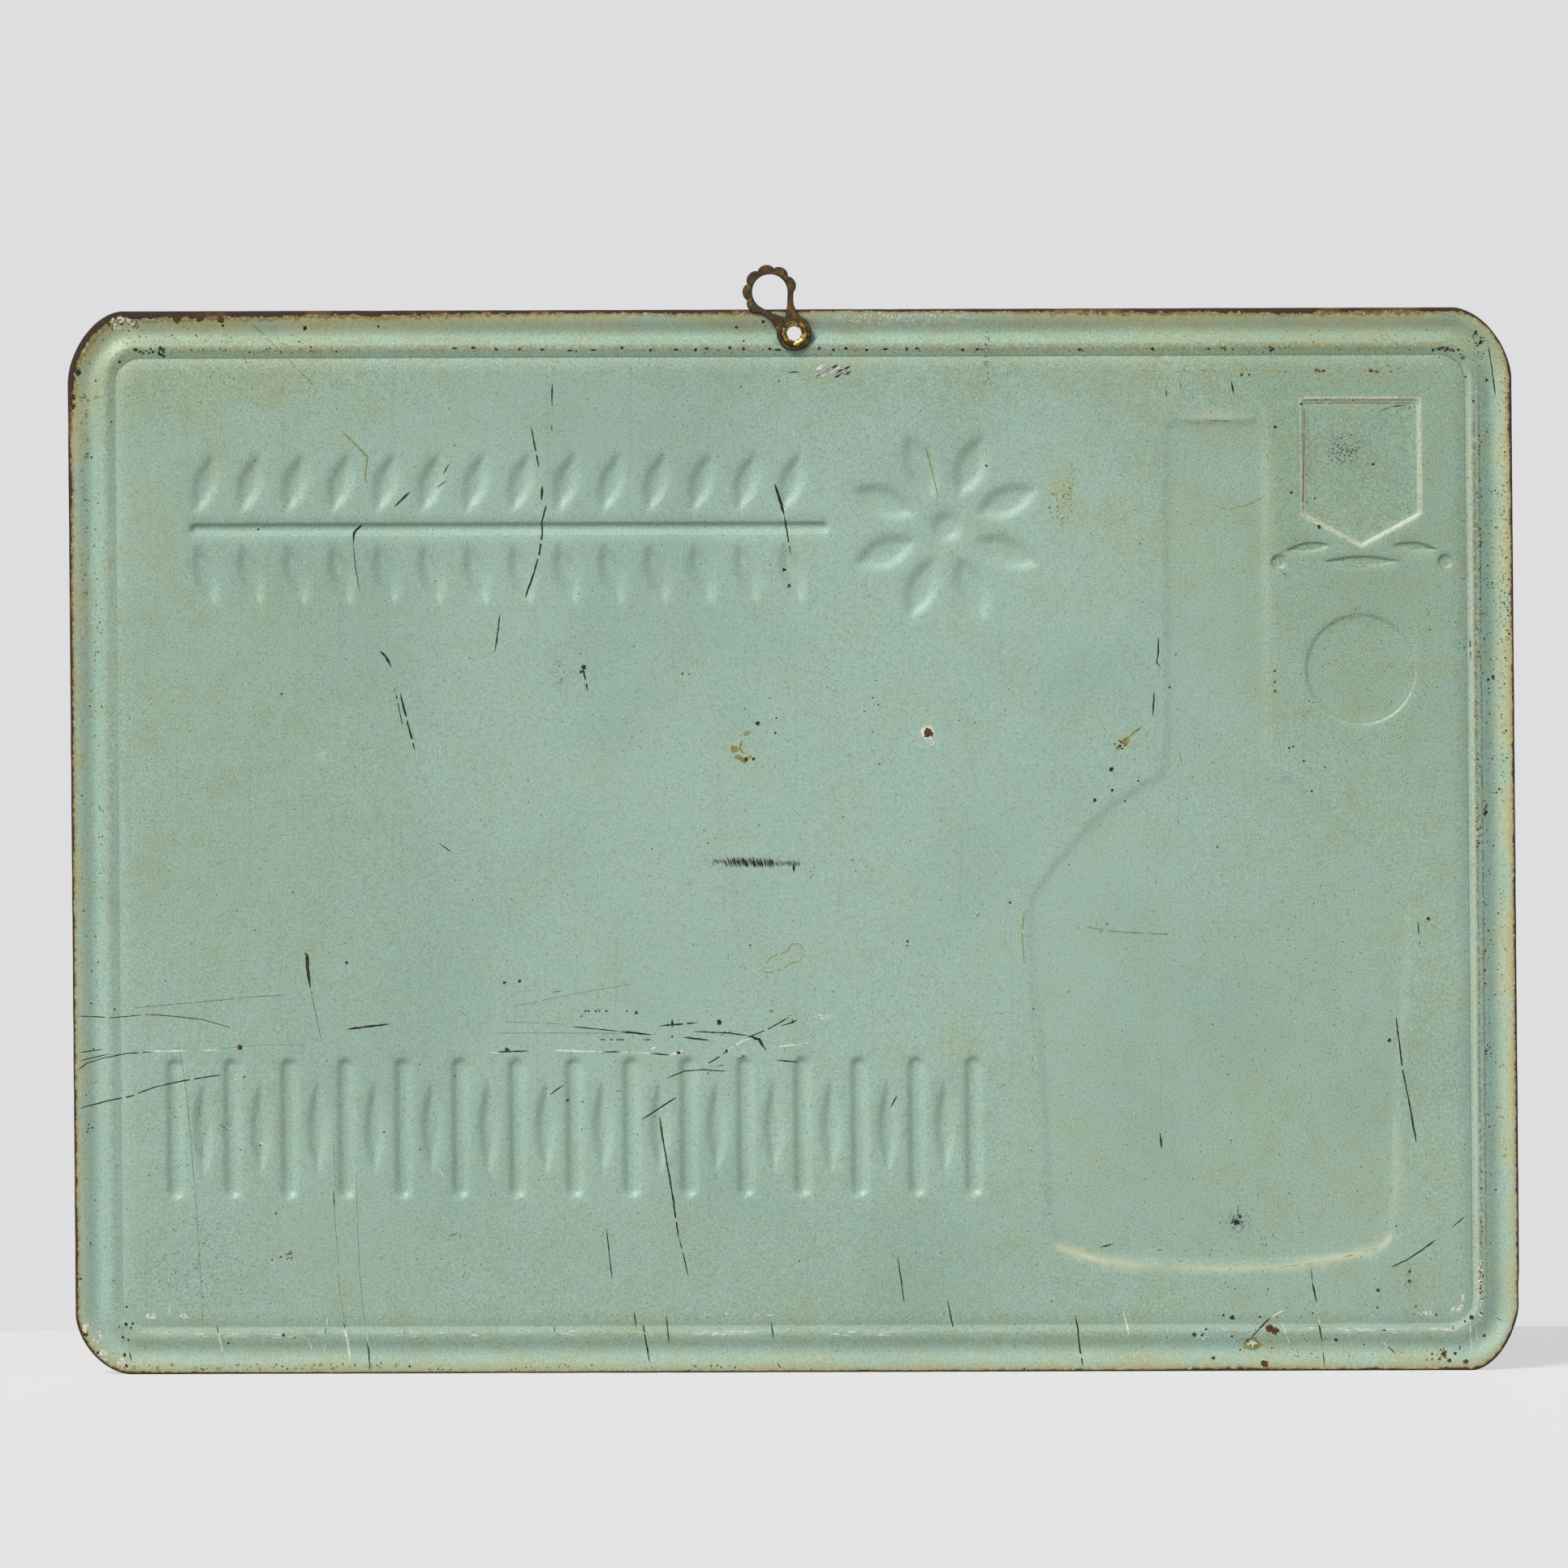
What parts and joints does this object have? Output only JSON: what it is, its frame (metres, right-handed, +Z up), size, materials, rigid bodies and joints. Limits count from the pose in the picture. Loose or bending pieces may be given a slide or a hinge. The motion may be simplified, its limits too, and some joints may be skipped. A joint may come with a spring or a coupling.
{
  "type": "pressed tin wall sign",
  "caption": "Flat pressed tinplate wall sign seen from its painted back, with rounded corners, a pressed border and ornament, and a small scalloped brass hanger that swivels on an eyelet.",
  "frame": {"origin": "where a nail carries the sign, at the top of the hanger's opening and at the middle of the hanger's thickness", "axes": "+Z up, +X to the right when the painted back is looked at, -Y out of the painted back and +Y out of the printed face"},
  "size_m": [0.4014, 0.0046, 0.3068],
  "materials": {
    "sea_green_enamel": "aged satin paint on tinplate, scratched, speckled with rust, bare and rusted along the cut edge",
    "brass": "rolled brass, bright on the petals of the clinched rim and dull between them",
    "tarnished_brass": "stamped brass, dark brown tarnish with rust-coloured patches"
  },
  "bodies": {
    "sign": {"tin_sheet": "sea_green_enamel", "eyelet": "brass"},
    "hanger": {"hanger_loop": "tarnished_brass"}
  },
  "joints": [
    {"name": "hanger_swivel", "type": "hinge", "parent": "sign", "child": "hanger", "pos_m": [0.00918, 0, -0.01571], "axis": [0, 1, 0], "continuous": true}
  ]
}
